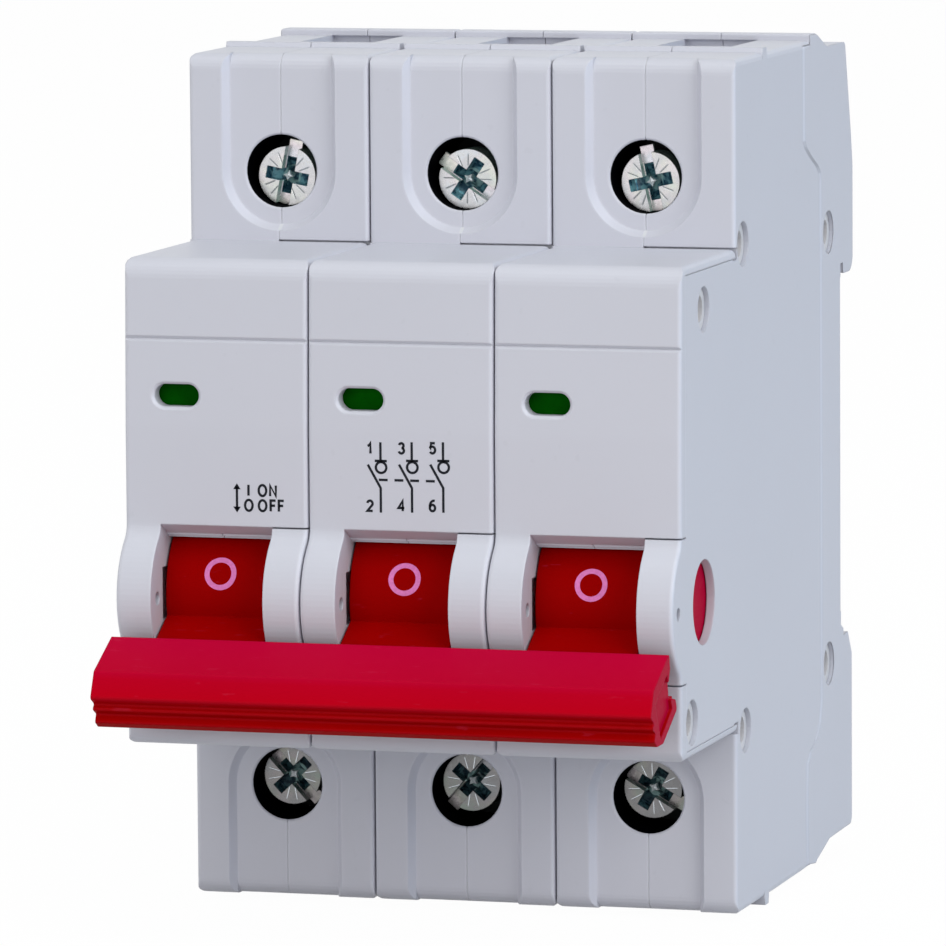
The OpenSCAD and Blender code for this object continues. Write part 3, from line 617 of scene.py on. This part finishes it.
def make_tips():
    """The small bright point in the middle of each screw's cross, a raised piece in bright, partly
    matt zinc that stands in for the recess's glint.
    """
    t = Tree("painted_glint_tip")
    facets = t.noise(1800, 1)
    colour = t.mix(facets, (0.8, 0.9, 0.92), (0.97, 0.98, 1.0))
    rough = t.between(facets, 0.3, 0.7, 0.3, 0.5)
    zinc = t.finish(colour, rough, t.bump(facets, 0.02, strength=0.6), metallic=0.6)
    # depths behind the screw's face, reach of the points and of the hollows between them,
    # and how far the tip sits to the left of the screw's axis
    peak, rim_depth, foot_depth, point, hollow, shift = 0.45, 0.62, 1.2, 0.5, 0.24, 0.08
    for n in POLES:
        for end, sign_z, turns in (("top", 1, TOP_TURNS), ("bottom", -1, BOTTOM_TURNS)):
            x, z, start = POLE_X[n] - shift, sign_z * SCREW_Z, math.radians(turns[n])
            rim = []
            for k in range(8):
                a, far = start + k * math.pi / 4, hollow if k % 2 else point
                rim.append((x + far * math.cos(a), HEAD_Y + rim_depth, z - far * math.sin(a)))
            low = [(px, HEAD_Y + foot_depth, pz) for px, _, pz in rim]
            verts = [(x + shift / 2, HEAD_Y + peak, z)] + rim + low
            faces = [(0, 1 + k, 1 + (k + 1) % 8) for k in range(8)]
            faces += [(1 + k, 9 + k, 9 + (k + 1) % 8, 1 + (k + 1) % 8) for k in range(8)]
            faces.append(tuple(range(9, 17)))
            add_piece("screw_tip_%s_%d" % (end, n), verts, faces, zinc)


def front_depth(shells, x, z):
    """Y of the first shell that a ray from the front meets, in millimetres, or 0."""
    origin = Vector((x, -100, z)) * MM
    hits = [shell.ray_cast(origin, Vector((0, 1, 0)))[0] for shell in shells]
    return min(hit.y for hit in hits if hit) / MM if any(hits) else 0


def make_lips():
    """The lip of one shell that lies just under the seam on the front of each terminal."""
    grey = bpy.data.materials["grey_plastic"]
    # half width, depth under the face, depth of the foot, and spacing of the rows
    half, below, deep, pace = 0.16, 0.025, 0.4, 0.15
    # heights of the terminal's ends, and where its face lies
    inner_end, outer_end, front_most, rear_most = 22.8, 43.5, -42, -36
    for n in POLES:
        shells = []
        for side in ("case_left_%d" % n, "case_right_%d" % n):
            mesh = nodes[side].data
            corners = [v.co for v in mesh.vertices]
            shells.append(BVHTree.FromPolygons(corners, [p.vertices for p in mesh.polygons]))
        for end, sign_z in (("top", 1), ("bottom", -1)):
            spans = ((inner_end, WELL_Z - WELL_RADIUS - 0.3),
                     (WELL_Z + WELL_RADIUS + 0.3, outer_end))
            for part, (first, last) in enumerate(spans, 1):
                rows = []
                for step in range(int((last - first) / pace) + 1):
                    z = sign_z * (first + pace * step)
                    face = max(front_depth(shells, POLE_X[n] + beside, z)
                               for beside in (-0.5, 0.5))
                    if front_most < face < rear_most:
                        rows.append((face, z))
                if len(rows) < 3:
                    continue
                verts, faces = [], []
                for face, z in rows:
                    for dx, dy in ((-half, below), (half, below), (half, deep), (-half, deep)):
                        verts.append((POLE_X[n] + dx, face + dy, z))
                for i in range(len(rows) - 1):
                    for k in range(4):
                        a, b = 4 * i + k, 4 * i + (k + 1) % 4
                        faces.append((a, b, b + 4, a + 4))
                faces += [(0, 1, 2, 3), tuple(range(len(verts) - 4, len(verts)))]
                add_piece("seam_lip_%s_%d_%d" % (end, n, part), verts, faces, grey)


# ---- stage and light ----

FLOOR_HALF, FLOOR_GAP = 4, 0.02 * MM
LAMP_AIM, LAMP_DISTANCE = (0, -0.035, 0), 1.3  # in metres


def white_to_camera(tree_nodes, links):
    """1 for the rays that see the background directly, in gloss or through glass."""
    path = tree_nodes.new("ShaderNodeLightPath")
    most = path.outputs["Is Camera Ray"]
    for name in ("Is Glossy Ray", "Is Transmission Ray"):
        pick = tree_nodes.new("ShaderNodeMath")
        pick.operation = "MAXIMUM"
        links.new(most, pick.inputs[0])
        links.new(path.outputs[name], pick.inputs[1])
        most = pick.outputs[0]
    return most


def make_stage():
    t = Tree("floor")
    seen = white_to_camera(t.nodes, t.links)
    paper = t.noise(300, 3)
    colour = t.mix(seen, (0.55, 0.55, 0.56), t.mix(paper, (0.98, 0.98, 0.98), (1, 1, 1)))
    t.finish(colour, 0.95, t.bump(paper, 0.05, strength=0.1), specular=0.0)
    glow = t.add("ShaderNodeEmission", Color=(1, 1, 1), Strength=1.0)
    blend = t.nodes.new("ShaderNodeMixShader")
    t.give(blend.inputs[0], t.math("MULTIPLY", seen, 0.98))
    t.give(blend.inputs[1], t.shader.outputs[0])
    t.give(blend.inputs[2], glow.outputs[0])
    t.give(t.nodes["Material Output"].inputs["Surface"], blend.outputs[0])
    bm = bmesh.new()
    bmesh.ops.create_grid(bm, x_segments=8, y_segments=8, size=FLOOR_HALF)
    mesh = bpy.data.meshes.new("floor")
    bm.to_mesh(mesh)
    bm.free()
    mesh.materials.append(t.mat)
    floor = bpy.data.objects.new("floor", mesh)
    floor.location = (0, 0, cad_box[0].z - FLOOR_GAP)
    scene.collection.objects.link(floor)


def lamp(name, azimuth, elevation, size, power, colour=(1, 1, 1), glossy=True):
    """A round soft lamp that faces the object. Azimuth 0 is in front, 90 to the right."""
    a, e = math.radians(azimuth), math.radians(elevation)
    way = Vector((math.sin(a) * math.cos(e), -math.cos(a) * math.cos(e), math.sin(e)))
    light = bpy.data.lights.new(name, "AREA")
    light.shape, light.size, light.energy, light.color = "DISK", size, power, colour
    obj = bpy.data.objects.new(name, light)
    scene.collection.objects.link(obj)
    obj.location = Vector(LAMP_AIM) + way * LAMP_DISTANCE
    obj.visible_glossy = glossy
    obj.rotation_mode = "QUATERNION"
    obj.rotation_quaternion = way.to_track_quat("Z", "Y")


def make_light():
    world = bpy.data.worlds.new("world")
    scene.world = world
    world.use_nodes = True
    background = world.node_tree.nodes["Background"]
    background.inputs["Color"].default_value = (1, 1, 1, 1)
    strength = world.node_tree.nodes.new("ShaderNodeMapRange")
    strength.inputs["To Min"].default_value = 0.4
    strength.inputs["To Max"].default_value = 1.0
    links = world.node_tree.links
    links.new(white_to_camera(world.node_tree.nodes, links), strength.inputs["Value"])
    links.new(strength.outputs["Result"], background.inputs["Strength"])
    lamp("key", azimuth=58, elevation=28, size=0.9, power=6.9)
    lamp("front", azimuth=-12, elevation=3, size=1.2, power=7.8, glossy=False)
    lamp("top", azimuth=10, elevation=75, size=1.2, power=5.8, colour=(0.94, 1, 1))
    lamp("side", azimuth=95, elevation=10, size=1.0, power=3.0, colour=(0.1, 0.55, 1))


scene.view_settings.view_transform = "Standard"
make_camera()
dress_nodes()
make_marks()
make_tips()
make_lips()
make_stage()
make_light()
